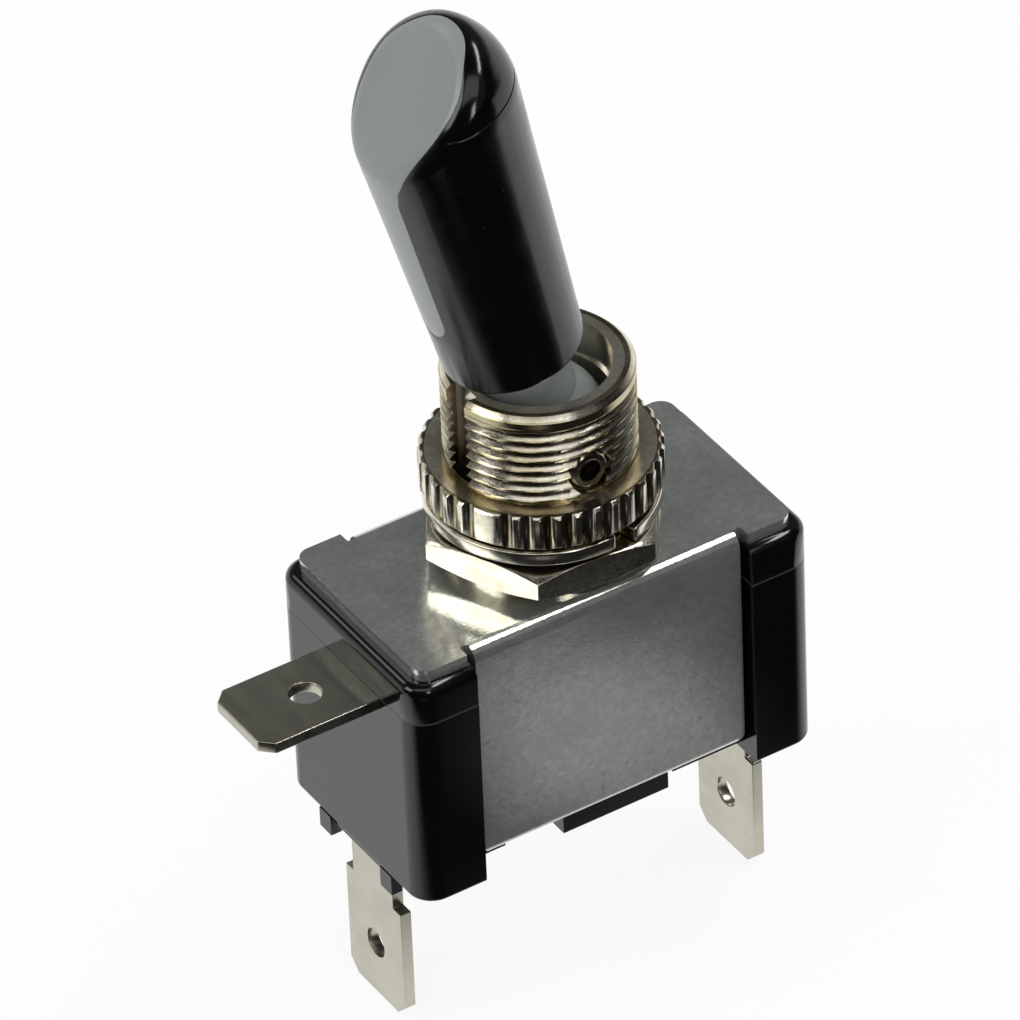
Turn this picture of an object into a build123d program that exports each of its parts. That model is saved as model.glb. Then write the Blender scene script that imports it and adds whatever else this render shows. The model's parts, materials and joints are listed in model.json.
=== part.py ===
from build123d import *
import math
import os

os.makedirs("parts", exist_ok=True)

# Panel toggle switch with a lit lever. Millimetres, +Z along the bushing, origin on the bushing
# axis where its bare thread leaves the face nut, which is where a panel comes to rest.
# Heights of the stack on the bushing, from the origin down to the steel frame's top face.
stack_height = 7.05
plate_top = -stack_height

# Clearances
running_gap = 0.05      # a pin or plunger in the hole that it turns or slides in
thread_gap = 0.02       # a nut's bore over the bushing
rocking_gap = 0.06      # between parts that press on each other through a spring
seat_gap = 0.1          # a loose piece in its moulded pocket
recess_gap = 0.35       # beside a side flap, at each end of its recess in the body
plunger_gap = 0.03335   # between the plunger's tip and the trough that it runs in

# Steel frame that wraps the body. A drop is measured down from the frame's top face, a rise up from it.
sheet = 0.8
plate_length = 27.2
plate_width = 14.4
plate_corner = 1.0
flap_length = 19.2
flap_face = 7.15        # outer face of a side flap, from the centre plane
flap_drop = 16.2
bend_radius = 0.95
relief_width = 0.6
relief_depth = 0.95
tab_start = -7.3        # fold-under tab on the front flap, along X
tab_end = 4.6
tab_reach = 1.5
tab_corner = 0.4
edge_round = 0.6

# Moulded body
body_length = 29.1
body_width = 15.86
body_corner = 1.7
cover_round = 0.7
seam_drop = 3.49
body_drop = 17.5
middle_drop = 16.9
wall_end = 2.35
wall_side = 2.18
cavity_corner = 0.8
cavity_drop = 14.7
cover_roof = 1.2
foot_bar_length = 7.75
foot_bar_centre = 0.98
foot_bar_front = 5.62
foot_bar_depth = 1.5
foot_bar_drop = 19.2
foot_bar_bevel = 0.6
base_round = 0.25
post_face = 0.25        # how far the lip is set back from the posts
post_depth = 0.8
post_width = 1.3
post_spacing = 7.0
post_drop = 18.98
lip_drop = 17.98
rib_thick = 1.2
stop_inset = 0.3        # from the end of the rocking contact to the middle of its stops
stop_width = 1.4
stop_shift = 2.6
shelf_rib_reach = 9.8
load_rib_reach = 9.0
side_pocket = 0.6

# Blade terminals, 6.3 mm series
blade = 6.3
blade_thick = 0.8
blade_neck = 4.6
blade_bevel = 0.85
detent_hole = 2.0
blade_drop = 30.27
shoulder_rise = 8.4     # from a lower blade's tip
hole_rise = 4.05
blade_face = 13.45      # outer face of each lower blade, from the centre
load_drop = 0.3         # how much lower the right blade hangs
side_tip = -22.81
side_hole = -17.96
side_root = -14.4
side_shift = -0.87      # centre line of the side blade, along Y
side_neck = 5.0
ground_leg_x = -12.1
ground_leg_width = 3.0
shelf_margin = 1.4      # from the rivet's centre to the end of the left blade's shelf
rivet_stem = 0.7

# Threaded bushing and what is screwed on it
thread_radius = 6.0
thread_core = 5.73      # stretch that the nuts cover
thread_length = 6.0
rim_bevel = 0.35
bore_radius = 4.63
seat_radius = 4.47
ledge_rise = 10.76
collar_radius = 6.4
collar_height = 0.8
neck_radius = 5.2
stake_radius = 5.6
stake_height = 0.6
keyway_width = 2.0
keyway_floor = 5.0
pivot_rise = 8.5
cross_hole = 3.0
cross_hole_floor = 5.1
pin_radius = 1.2
pin_bore = 0.75
pin_end = 5.6
hex_across_flats = 14.0
hex_bottom = plate_top + collar_height
hex_height = 2.05
hex_turn = -5.0
washer_inset = 0.19     # how far the washer's rim stays inside the face nut's
washer_thick = 0.95
washer_rise = 0.4
washer_split = -79.0
face_nut_wall = 1.79
face_nut_rise = 4.3
groove_count = 36
groove_radius = 0.45
groove_depth = 0.36
blank_direction = -149.0
flare_radius = 1.35
flare_bevel = 0.2
hex_bevel = 0.45
washer_turn = 0.965
face_nut_bevel = 0.5

# Lever, built upright in its own frame and leant over by half of its swing
lever_swing = 27.6
lever_lean = lever_swing / 2
sleeve_foot = 7.2       # distances along the lever, from the pivot
sleeve_foot_radius = 4.44
dome_centre = 28.0
dome_radius = 5.3
face_height = 30.4
face_slope = 38.66
face_round = 1.7
sleeve_bore = 3.25
sleeve_bore_top = 23.5
light_well = 2.2
lens_depth = 1.5
strip_back = 3.3
strip_foot = 11.5
strip_foot_width = 1.55
strip_top = 23.7
strip_top_width = 1.85
spoon_start = 24.9
spoon_start_width = 2.2
spoon_middle = 27.3
spoon_middle_width = 3.4
spoon_widest = 29.7
spoon_width = 4.1
head_middle = 1.76      # distances up the sloped face, from its crossing with the lever's axis
head_middle_width = 2.9
head_top = 3.36
sleeve_foot_round = 0.3
ball_radius = 4.3
tail_radius = 2.35
tail_end = 7.5
plunger_bore = 1.5
plunger_bore_top = 2.1
neck_foot_radius = 3.0
core_top = 21.0
plunger_shoulder = 1.6
plunger_top = 3.6
spring_room = 1.05
spring_foot = 9.0
cap_thick = 0.4
cap_tab = 2.05
cap_tab_width = 0.8
wire_radius = 0.12
coil_radius = 0.85
coil_count = 5
led_foot = 15.2
led_radius = 1.5
led_rim_radius = 1.62
led_rim = 0.6
led_length = 5.0
led_leads = 1.2
lead_spacing = 1.6
resistor_foot = 8.6
resistor_length = 3.4
resistor_radius = 0.75
led_bore = 1.7
led_bore_foot = 5.0
neck_foot = 4.5
lead_radius = 0.22
feed_lead_shift = 1.75
feed_slot_top = 8.0

# Rocking contact, built level in its own frame and leant over by half of its swing
rocker_lean = 12.0
rocker_drop = 8.9
fulcrum_radius = 0.4
rocker_sheet = 0.6
rocker_width = 4.5
rocker_reach = 7.6
trough_radius = 5.55    # inside of the trough that the plunger runs in
trough_half_angle = 42.0
plunger_tip_radius = 1.0
button_inset = 0.8
button_radius = 1.2
button_height = 0.8
rivet_height = 0.8
fulcrum_width = 3.2
fulcrum_drop = 12.4
bend_inset = 0.3
contact_bevel = 0.25
ear_inner = 1.7
ear_drop = 1.5
ear_length = 2.4

# Places that more than one piece uses
body_top = plate_top - sheet
flap_bottom = plate_top - flap_drop
seam_height = plate_top - seam_drop
body_bottom = plate_top - body_drop
middle_bottom = plate_top - middle_drop
cavity_floor = plate_top - cavity_drop
foot_bar_bottom = plate_top - foot_bar_drop
post_bottom = plate_top - post_drop
lip_bottom = plate_top - lip_drop
blade_tip = plate_top - blade_drop
blade_shoulder = blade_tip + shoulder_rise
blade_hole = blade_tip + hole_rise
seat_ledge = plate_top + ledge_rise
pivot_height = plate_top + pivot_rise
face_nut_bottom = plate_top + face_nut_rise
rocker_pivot_height = plate_top - rocker_drop
fulcrum_shelf = plate_top - fulcrum_drop
cavity_length = body_length - 2 * wall_end
cavity_width = body_width - 2 * wall_side
trough_foot = fulcrum_radius + rocking_gap
trough_centre = trough_foot + rocker_sheet + trough_radius
wing_top = trough_centre - trough_radius * math.cos(math.radians(trough_half_angle))
wing_start = trough_radius * math.sin(math.radians(trough_half_angle))
lean_sine = math.sin(math.radians(rocker_lean))
lean_cosine = math.cos(math.radians(rocker_lean))
wing_foot = wing_top - rocker_sheet
trough_side = trough_centre * lean_sine
trough_drop = pivot_height - rocker_pivot_height - trough_centre * lean_cosine
tail_sine = math.sin(math.radians(lever_lean))
tail_cosine = math.cos(math.radians(lever_lean))
trough_reach = trough_side * tail_sine + trough_drop * tail_cosine
trough_room = trough_radius - plunger_tip_radius - plunger_gap
tip_centre = trough_reach + math.sqrt(trough_reach**2 - trough_side**2 - trough_drop**2 + trough_room**2)
button_reach = rocker_reach - button_inset
stop_reach = rocker_reach - stop_inset
rivet_reach = button_reach * lean_cosine + (wing_foot - button_height) * lean_sine
shelf_end = rivet_reach - shelf_margin
stop_height = rocker_pivot_height + wing_foot * lean_cosine - rocker_reach * lean_sine - rocking_gap
button_foot = (wing_foot - button_height) * lean_cosine - (button_reach + button_radius) * lean_sine
supply_shelf = rocker_pivot_height + button_foot - rocking_gap - rivet_height
lip_width = post_spacing - post_width + 2 * seat_gap
below = (Align.CENTER, Align.MAX)
recess_length = flap_length + 2 * recess_gap
blade_slot = blade_face + seat_gap
blade_middle = blade_face - blade_thick / 2
recess_floor = flap_face - sheet - seat_gap
tab_middle = (tab_start + tab_end) / 2
face_nut_radius = thread_core + thread_gap + face_nut_wall
washer_radius = face_nut_radius - washer_inset
lever_place = Location((0, 0, pivot_height), (0, -lever_lean, 0))
lever_base = Plane(lever_place)
lever_side = Plane(lever_place * Plane.XZ.location)
lever_front = Plane(lever_place * Plane.YZ.location)
lever_axis = Axis(lever_base.origin, lever_base.z_dir)
rocker_place = Location((0, 0, rocker_pivot_height), (0, rocker_lean, 0))
rocker_base = Plane(rocker_place)
rocker_side = Plane(rocker_place * Plane.XZ.location)
half_turn = Rotation(0, 0, 180)

# Tab that is folded under the body from the front flap
with BuildPart() as fold_tab:
    with BuildSketch(Plane.XY.offset(flap_bottom)):
        with Locations(((tab_start + tab_end) / 2, tab_reach / 2 - flap_face)):
            Rectangle(tab_end - tab_start, tab_reach)
    extrude(amount=sheet)
    inner_corners = fold_tab.edges().filter_by(Axis.Z).group_by(Axis.Y)[-1]
    fillet(inner_corners, tab_corner)

# Steel frame: plate, two bent flaps, and a tab folded under the body on each side
with BuildPart() as mounting_frame:
    with BuildSketch(Plane.XZ.offset(-flap_face)):
        with BuildLine():
            Polyline(
                (-flap_length / 2, plate_top),
                (-flap_length / 2, flap_bottom),
                (flap_length / 2, flap_bottom),
                (flap_length / 2, plate_top),
                close=True,
            )
        make_face()
    extrude(amount=2 * flap_face)
    inner_width = 2 * (flap_face - sheet)
    with BuildSketch(Plane.XY.offset(plate_top - sheet)):
        Rectangle(flap_length, inner_width)
    extrude(amount=flap_bottom - plate_top, mode=Mode.SUBTRACT)
    upper_edges = mounting_frame.edges().filter_by(Axis.X).group_by(Axis.Z)[-1]
    fillet(upper_edges, bend_radius)
    side_edges = mounting_frame.edges().filter_by(Axis.Y).group_by(Axis.Z)[0]
    fillet(side_edges, bend_radius)
    with BuildSketch(Plane.XY.offset(plate_top - sheet)):
        RectangleRounded(plate_length, plate_width, plate_corner)
        Rectangle(flap_length, plate_width, mode=Mode.SUBTRACT)
        for side_x in (-1, 1):
            for side_y in (-1, 1):
                with Locations((side_x * (flap_length + relief_width) / 2, side_y * plate_width / 2)):
                    SlotOverall(2 * relief_depth, relief_width, rotation=90, mode=Mode.SUBTRACT)
    extrude(amount=sheet)
    add(fold_tab.part)
    add(half_turn * fold_tab.part)
    with BuildSketch(Plane.YZ.offset(-flap_length / 2)):
        for side_y in (-1, 1):
            with Locations((side_y * (flap_face - edge_round / 2), flap_bottom + edge_round / 2)):
                Rectangle(edge_round, edge_round)
            with Locations((side_y * (flap_face - edge_round), flap_bottom + edge_round)):
                Circle(edge_round, mode=Mode.SUBTRACT)
    extrude(amount=flap_length, mode=Mode.SUBTRACT)
    with BuildSketch(Plane.XY.offset(plate_top)):
        Circle(neck_radius)
    extrude(amount=-sheet, mode=Mode.SUBTRACT)
mounting_frame.part.label = "mounting_frame"
export_step(mounting_frame.part, "parts/mounting_frame.step")

# Room that the two flaps need in the sides of the moulded body
with BuildPart() as flap_recess:
    with BuildSketch(Plane.XY.offset(body_bottom)):
        Rectangle(recess_length, 2 * body_width)
        Rectangle(recess_length, 2 * recess_floor, mode=Mode.SUBTRACT)
    extrude(amount=plate_top - body_bottom)

# Upper moulding of the body
with BuildPart() as housing_cover:
    with BuildSketch(Plane.XY.offset(seam_height)):
        RectangleRounded(body_length, body_width, body_corner)
    extrude(amount=body_top - seam_height)
    fillet(housing_cover.faces().sort_by(Axis.Z)[-1].edges(), cover_round)
    add(flap_recess.part, mode=Mode.SUBTRACT)
    with BuildSketch(Plane.XY.offset(seam_height)):
        RectangleRounded(cavity_length, cavity_width, cavity_corner)
    extrude(amount=body_top - cover_roof - seam_height, mode=Mode.SUBTRACT)
    with BuildSketch(Plane.XY.offset(body_top)):
        Circle(stake_radius + seat_gap)
    extrude(amount=-stake_height - seat_gap, mode=Mode.SUBTRACT)
    with BuildSketch(Plane.XY.offset(body_top)):
        Circle(seat_radius)
        with Locations((ground_leg_x + blade_thick / 2, side_shift)):
            Rectangle(blade_thick + 2 * seat_gap, ground_leg_width + 2 * seat_gap)
    extrude(amount=-cover_roof, mode=Mode.SUBTRACT)
housing_cover.part.label = "housing_cover"
export_step(housing_cover.part, "parts/housing_cover.step")

# Foot bar under the front of the body, with a bevel along its lower front edge
with BuildPart() as foot_bar:
    with BuildSketch(Plane.XY.offset(foot_bar_bottom)):
        with Locations((foot_bar_centre, foot_bar_depth / 2 - foot_bar_front)):
            Rectangle(foot_bar_length, foot_bar_depth)
    extrude(amount=middle_bottom - foot_bar_bottom)
    lower_edges = foot_bar.faces().sort_by(Axis.Z)[0].edges()
    chamfer(lower_edges, foot_bar_bevel)

# Two posts beside the left blade, and the lip between them
with BuildPart() as end_posts:
    with BuildSketch(Plane.XY.offset(body_bottom)):
        with Locations((post_face - body_length / 2, 0)):
            Rectangle(post_depth, lip_width, align=(Align.MIN, Align.CENTER))
    extrude(amount=lip_bottom - body_bottom)
    with BuildSketch(Plane.XY.offset(body_bottom)):
        for side_y in (-1, 1):
            with Locations((-body_length / 2, side_y * post_spacing / 2)):
                Rectangle(post_depth, post_width, align=(Align.MIN, Align.CENTER))
    extrude(amount=post_bottom - body_bottom)

# Lower moulding of the body
with BuildPart() as housing_base:
    with BuildSketch(Plane.XY.offset(seam_height)):
        RectangleRounded(body_length, body_width, body_corner)
    extrude(amount=body_bottom - seam_height)
    fillet(housing_base.faces().sort_by(Axis.Z)[0].edges(), base_round)
    with BuildSketch(Plane.XY.offset(body_bottom)):
        Rectangle(recess_length, body_width)
    extrude(amount=middle_bottom - body_bottom, mode=Mode.SUBTRACT)
    add(flap_recess.part, mode=Mode.SUBTRACT)
    with BuildSketch(Plane.XY.offset(middle_bottom)):
        for side_y in (-1, 1):
            with Locations((-side_y * tab_middle, side_y * flap_face)):
                Rectangle(tab_end - tab_start + 4 * seat_gap, 2 * (tab_reach + seat_gap))
    extrude(amount=flap_bottom + sheet - middle_bottom, mode=Mode.SUBTRACT)
    add(foot_bar.part)
    add(half_turn * foot_bar.part)
    add(end_posts.part)
    add(half_turn * end_posts.part)
    with BuildSketch(Plane.XY.offset(seam_height)):
        RectangleRounded(cavity_length, cavity_width, cavity_corner)
    extrude(amount=cavity_floor - seam_height, mode=Mode.SUBTRACT)
    with BuildSketch(Plane.XY.offset(cavity_floor)):
        with Locations((stop_reach, stop_shift), (stop_reach, -stop_shift)):
            Rectangle(rib_thick, stop_width)
    extrude(amount=stop_height - cavity_floor)
    with BuildSketch(Plane.XY.offset(cavity_floor)):
        with Locations((-shelf_rib_reach, 0), (-shelf_rib_reach + 2 * rib_thick, 0)):
            Rectangle(rib_thick, cavity_width)
    extrude(amount=supply_shelf - blade_thick - cavity_floor)
    with BuildSketch(Plane.XY.offset(cavity_floor)):
        with Locations((0, 0), (load_rib_reach, 0)):
            Rectangle(rib_thick, cavity_width)
    extrude(amount=fulcrum_shelf - blade_thick - cavity_floor)
    with BuildSketch(Plane.XY.offset(seam_height)):
        for side_x in (-1, 1):
            with Locations((side_x * (blade_slot + cavity_length / 2) / 2, 0)):
                Rectangle(blade_slot - cavity_length / 2 + seat_gap, blade_neck + 2 * seat_gap)
    extrude(amount=cavity_floor - seam_height, mode=Mode.SUBTRACT)
    with BuildSketch(Plane.XY.offset(cavity_floor)):
        with Locations((-blade_middle, 0), (blade_middle, 0)):
            Rectangle(blade_thick + 2 * seat_gap, blade_neck + 2 * seat_gap)
    extrude(amount=post_bottom - cavity_floor, mode=Mode.SUBTRACT)
    with BuildSketch(Plane.XY.offset(seam_height)):
        with Locations((-body_length / 2 - seat_gap, side_shift)):
            Rectangle(wall_end + 2 * seat_gap, side_neck, align=(Align.MIN, Align.CENTER))
            Rectangle(side_pocket + seat_gap, blade, align=(Align.MIN, Align.CENTER))
    extrude(amount=-blade_thick, mode=Mode.SUBTRACT)
housing_base.part.label = "housing_base"
export_step(housing_base.part, "parts/housing_base.step")

# Blade with bevelled tip, detent hole and narrow neck, drawn once for both lower terminals
with BuildSketch(Plane.YZ) as blade_outline:
    with Locations((0, (blade_tip + blade_shoulder) / 2)):
        Rectangle(blade, blade_shoulder - blade_tip)
    chamfer(blade_outline.vertices().group_by(Axis.Y)[0], blade_bevel)
    with Locations((0, blade_shoulder)):
        Rectangle(blade_neck, cavity_floor - blade_shoulder, align=(Align.CENTER, Align.MIN))
    with Locations((0, blade_hole)):
        Circle(detent_hole / 2, mode=Mode.SUBTRACT)

# Left blade: rises inside the end wall and turns in under the rocking contact
with BuildPart() as supply_terminal:
    with Locations((-blade_face, 0, 0)):
        add(extrude(blade_outline.sketch, amount=blade_thick, mode=Mode.PRIVATE))
    with BuildSketch(Plane.XY.offset(cavity_floor)):
        with Locations((-blade_middle, 0)):
            Rectangle(blade_thick, blade_neck)
    extrude(amount=supply_shelf - cavity_floor)
    with BuildSketch(Plane.XY.offset(supply_shelf)):
        with Locations((-blade_face, 0)):
            Rectangle(blade_face - shelf_end, blade_neck, align=(Align.MIN, Align.CENTER))
    extrude(amount=-blade_thick)
    bend_edges = supply_terminal.edges().filter_by(Axis.Y).group_by(Axis.Z)[-1].sort_by(Axis.X)[0]
    fillet(bend_edges, blade_thick)
    with BuildSketch(Plane.XY.offset(supply_shelf)):
        with Locations((-rivet_reach, 0)):
            Circle(rivet_stem)
    extrude(amount=-blade_thick, mode=Mode.SUBTRACT)
supply_terminal.part.label = "supply_terminal"
export_step(supply_terminal.part, "parts/supply_terminal.step")

# Right blade: turns in above the floor and stands up as the fulcrum of the rocking contact
with BuildPart() as load_terminal:
    with Locations((blade_face - blade_thick, 0, -load_drop)):
        add(extrude(blade_outline.sketch, amount=blade_thick, mode=Mode.PRIVATE))
    with BuildSketch(Plane.XY.offset(cavity_floor - load_drop)):
        with Locations((blade_middle, 0)):
            Rectangle(blade_thick, blade_neck)
    extrude(amount=fulcrum_shelf - cavity_floor + load_drop)
    with BuildSketch(Plane.XZ):
        with BuildLine():
            Polyline(
                (blade_face, fulcrum_shelf),
                (blade_face, fulcrum_shelf - blade_thick),
                (-fulcrum_radius, fulcrum_shelf - blade_thick),
                (-fulcrum_radius, rocker_pivot_height),
                (fulcrum_radius, rocker_pivot_height),
                (fulcrum_radius, fulcrum_shelf),
                close=True,
            )
        make_face()
        with Locations((0, rocker_pivot_height)):
            Circle(fulcrum_radius)
    extrude(amount=fulcrum_width / 2, both=True)
    bend_edge = load_terminal.edges().filter_by(Axis.Y).sort_by_distance((blade_slot, 0, fulcrum_shelf))[0]
    fillet(bend_edge, blade_thick - bend_inset)
load_terminal.part.label = "load_terminal"
export_step(load_terminal.part, "parts/load_terminal.step")

# Side blade: lies in the seam of the body, its inner leg rises to touch the steel frame
with BuildPart() as ground_terminal:
    with BuildSketch(Plane.XY.offset(seam_height)) as side_outline:
        with Locations((side_tip, side_shift)):
            Rectangle(side_root - side_tip, blade, align=(Align.MIN, Align.CENTER))
        chamfer(side_outline.vertices().group_by(Axis.X)[0], blade_bevel)
        with Locations((side_root, side_shift)):
            Rectangle(ground_leg_x - side_root, side_neck, align=(Align.MIN, Align.CENTER))
        with Locations((ground_leg_x, side_shift)):
            Rectangle(blade_thick, ground_leg_width, align=(Align.MIN, Align.CENTER))
        with Locations((side_hole, side_shift)):
            Circle(detent_hole / 2, mode=Mode.SUBTRACT)
    extrude(amount=-blade_thick)
    with BuildSketch(Plane.XY.offset(seam_height)):
        with Locations((ground_leg_x, side_shift)):
            Rectangle(blade_thick, ground_leg_width, align=(Align.MIN, Align.CENTER))
    extrude(amount=body_top - seam_height)
    lower_edge = ground_terminal.edges().filter_by(Axis.Y).group_by(Axis.Z)[0].sort_by(Axis.X)[-1]
    fillet(lower_edge, blade_thick - bend_inset)
ground_terminal.part.label = "ground_terminal"
export_step(ground_terminal.part, "parts/ground_terminal.step")

# Silver rivet in the left terminal's shelf
with BuildPart() as supply_contact:
    with BuildSketch(Plane.XY.offset(supply_shelf)):
        with Locations((-rivet_reach, 0)):
            Circle(button_radius)
    extrude(amount=rivet_height)
    chamfer(supply_contact.edges().group_by(Axis.Z)[-1], contact_bevel)
    with BuildSketch(Plane.XY.offset(supply_shelf)):
        with Locations((-rivet_reach, 0)):
            Circle(rivet_stem)
    extrude(amount=-blade_thick)
supply_contact.part.label = "supply_contact"
export_step(supply_contact.part, "parts/supply_contact.step")

# Rocking contact: a trough that the plunger runs in, a wing on each side, ears over the fulcrum
with BuildPart() as rocker_contact:
    with BuildSketch(rocker_side):
        with Locations((0, trough_centre)):
            Circle(trough_radius + rocker_sheet)
            Circle(trough_radius, mode=Mode.SUBTRACT)
        with Locations((0, wing_top)):
            Rectangle(2 * rocker_reach, 2 * rocker_reach, align=below, mode=Mode.INTERSECT)
        with Locations((wing_start, wing_top)):
            Rectangle(rocker_reach - wing_start, rocker_sheet, align=(Align.MIN, Align.MAX))
        with Locations((-wing_start, wing_top)):
            Rectangle(rocker_reach - wing_start, rocker_sheet, align=(Align.MAX, Align.MAX))
    extrude(amount=rocker_width / 2, both=True)
    for ear_face in (ear_inner, -ear_inner):
        with BuildSketch(rocker_side.offset(ear_face)):
            with Locations((0, trough_foot - ear_drop)):
                Rectangle(ear_length, ear_drop + rocker_sheet, align=(Align.CENTER, Align.MIN))
        extrude(amount=math.copysign(rocker_width / 2 - ear_inner, ear_face))
    with BuildSketch(rocker_base.offset(wing_top)):
        with Locations((-button_reach, 0)):
            Circle(rivet_stem)
    extrude(amount=-rocker_sheet, mode=Mode.SUBTRACT)
rocker_contact.part.label = "rocker_contact"
export_step(rocker_contact.part, "parts/rocker_contact.step")

# Silver button riveted through the wing that closes the circuit
with BuildPart() as rocker_button:
    with BuildSketch(rocker_base.offset(wing_top - rocker_sheet)):
        with Locations((-button_reach, 0)):
            Circle(button_radius)
    extrude(amount=-button_height)
    chamfer(rocker_button.faces().sort_by(Axis.Z)[0].edges(), contact_bevel)
    with BuildSketch(rocker_base.offset(wing_top)):
        with Locations((-button_reach, 0)):
            Circle(rivet_stem)
    extrude(amount=-rocker_sheet)
rocker_button.part.label = "rocker_button"
export_step(rocker_button.part, "parts/rocker_button.step")

# Moulded inner lever: ball, hollow tail for the plunger and neck that carries the sleeve
with BuildPart() as lever_core:
    with BuildSketch(lever_side):
        with BuildLine():
            Polyline(
                (0, -tail_end),
                (tail_radius, -tail_end),
                (tail_radius, 0),
                (neck_foot_radius, 0),
                (neck_foot_radius, neck_foot),
                (sleeve_bore - running_gap, sleeve_foot),
                (sleeve_bore - running_gap, core_top),
                (0, core_top),
                close=True,
            )
        make_face()
    revolve(axis=lever_axis)
    with Locations(lever_base):
        Sphere(ball_radius)
    with BuildSketch(lever_base.offset(-tail_end)):
        Circle(plunger_bore)
    extrude(amount=tail_end - plunger_bore_top, mode=Mode.SUBTRACT)
    with BuildSketch(lever_base.offset(core_top)):
        Circle(led_bore)
    extrude(amount=led_bore_foot - core_top, mode=Mode.SUBTRACT)
    with BuildSketch(lever_base.offset(led_bore_foot)):
        Circle(lead_radius + running_gap)
    extrude(amount=-led_bore_foot, mode=Mode.SUBTRACT)
    with BuildSketch(lever_base.offset(-plunger_bore_top)):
        with Locations((feed_lead_shift, 0)):
            Circle(lead_radius + running_gap)
    extrude(amount=feed_slot_top + plunger_bore_top, mode=Mode.SUBTRACT)
    with BuildSketch(lever_base.offset(-tail_end)):
        Rectangle(cap_tab + running_gap, cap_tab_width + seat_gap, align=(Align.MIN, Align.CENTER))
    extrude(amount=tail_end - plunger_bore_top, mode=Mode.SUBTRACT)
    with BuildSketch(lever_side):
        Circle(pin_radius + running_gap)
    extrude(amount=ball_radius, both=True, mode=Mode.SUBTRACT)
lever_core.part.label = "lever_core"
export_step(lever_core.part, "parts/lever_core.step")

# Outer form of the lever, shared by the sleeve and the lens that is let into it.
# The conical side meets the dome at a tangent, and the sloped face has a well rounded edge.
face_rise = math.tan(math.radians(face_slope))
cone_height = dome_centre - sleeve_foot
foot_distance = math.hypot(sleeve_foot_radius, cone_height)
cone_angle = math.asin(dome_radius / foot_distance) - math.atan2(sleeve_foot_radius, cone_height)
cone_top = (dome_radius * math.cos(cone_angle), dome_centre - dome_radius * math.sin(cone_angle))
dome_top = dome_centre + dome_radius
with BuildPart() as lever_form:
    with BuildSketch(lever_side):
        with BuildLine():
            Polyline((0, dome_top), (0, sleeve_foot), (sleeve_foot_radius, sleeve_foot), cone_top)
            TangentArc(cone_top, (0, dome_top), tangent=(math.sin(cone_angle), math.cos(cone_angle)))
        make_face()
    revolve(axis=lever_axis)
    with BuildSketch(lever_side):
        with BuildLine():
            Polyline(
                (-dome_top, face_height - dome_top * face_rise),
                (dome_top, face_height + dome_top * face_rise),
                (-dome_top, face_height + dome_top * face_rise),
                close=True,
            )
        make_face()
    extrude(amount=dome_top, both=True, mode=Mode.SUBTRACT)
    sloped_face = lever_form.faces().filter_by(GeomType.PLANE).sort_by(Axis.Z)[-1]
    fillet(sloped_face.edges(), face_round)
    foot_edge = lever_form.edges().filter_by(GeomType.CIRCLE).sort_by(Axis.Z)[0]
    fillet(foot_edge, sleeve_foot_round)

# Translucent lens: its stem and neck are drawn from the front and its head on the sloped face,
# and seen from the side it is a thin shell
face_plane = Plane(lever_place * Location((0, 0, face_height), (0, -face_slope, 0)))
head_start = (spoon_widest - face_height) / math.sin(math.radians(face_slope))
with BuildPart() as lever_lens:
    add(lever_form.part)
    with BuildSketch(lever_front):
        with BuildLine():
            stem_foot = (strip_foot_width, strip_foot + strip_foot_width)
            stem = Polyline(stem_foot, (strip_top_width, strip_top), (spoon_start_width, spoon_start))
            neck = Spline(
                stem @ 1,
                (spoon_middle_width, spoon_middle),
                (spoon_width, spoon_widest),
                tangents=((1, 1.6), (0, 1)),
            )
            Polyline(neck @ 1, (2 * spoon_width, dome_top), (0, dome_top), (0, strip_foot))
            RadiusArc((0, strip_foot), stem @ 0, -strip_foot_width)
        make_face()
        mirror(about=Plane.YZ)
    extrude(amount=2 * dome_radius, both=True, mode=Mode.INTERSECT)
    with BuildSketch(face_plane):
        with BuildLine():
            head = Spline(
                (head_start, spoon_width),
                (head_middle, head_middle_width),
                (head_top, 0),
                tangents=((1, 0), (0, -1)),
            )
            Polyline(
                head @ 1,
                (-dome_top, 0),
                (-dome_top, 2 * spoon_width),
                (head_start, 2 * spoon_width),
                head @ 0,
            )
        make_face()
        mirror(about=Plane.XZ)
    extrude(amount=dome_top, both=True, mode=Mode.INTERSECT)
    shell_back = face_height - lens_depth / math.cos(math.radians(face_slope))
    with BuildSketch(lever_side):
        with BuildLine():
            Polyline(
                (-2 * dome_radius, 0),
                (-strip_back, 0),
                (-strip_back, shell_back - strip_back * face_rise),
                (2 * dome_radius, shell_back + 2 * dome_radius * face_rise),
                (2 * dome_radius, 2 * dome_top),
                (-2 * dome_radius, 2 * dome_top),
                close=True,
            )
        make_face()
    extrude(amount=2 * dome_radius, both=True, mode=Mode.INTERSECT)
lever_lens.part.label = "lever_lens"
export_step(lever_lens.part, "parts/lever_lens.step")

# Black sleeve around the inner lever, open toward the back of the lens
with BuildPart() as lever_sleeve:
    add(lever_form.part)
    add(lever_lens.part, mode=Mode.SUBTRACT)
    with BuildSketch(lever_base.offset(sleeve_foot)):
        Circle(sleeve_bore)
    extrude(amount=sleeve_bore_top - sleeve_foot, mode=Mode.SUBTRACT)
    with BuildSketch(lever_base.offset(sleeve_bore_top)):
        Circle(light_well)
    well = extrude(amount=dome_top - sleeve_bore_top, mode=Mode.PRIVATE)
    add(well - lever_lens.part, mode=Mode.SUBTRACT)
lever_sleeve.part.label = "lever_sleeve"
export_step(lever_sleeve.part, "parts/lever_sleeve.step")

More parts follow.
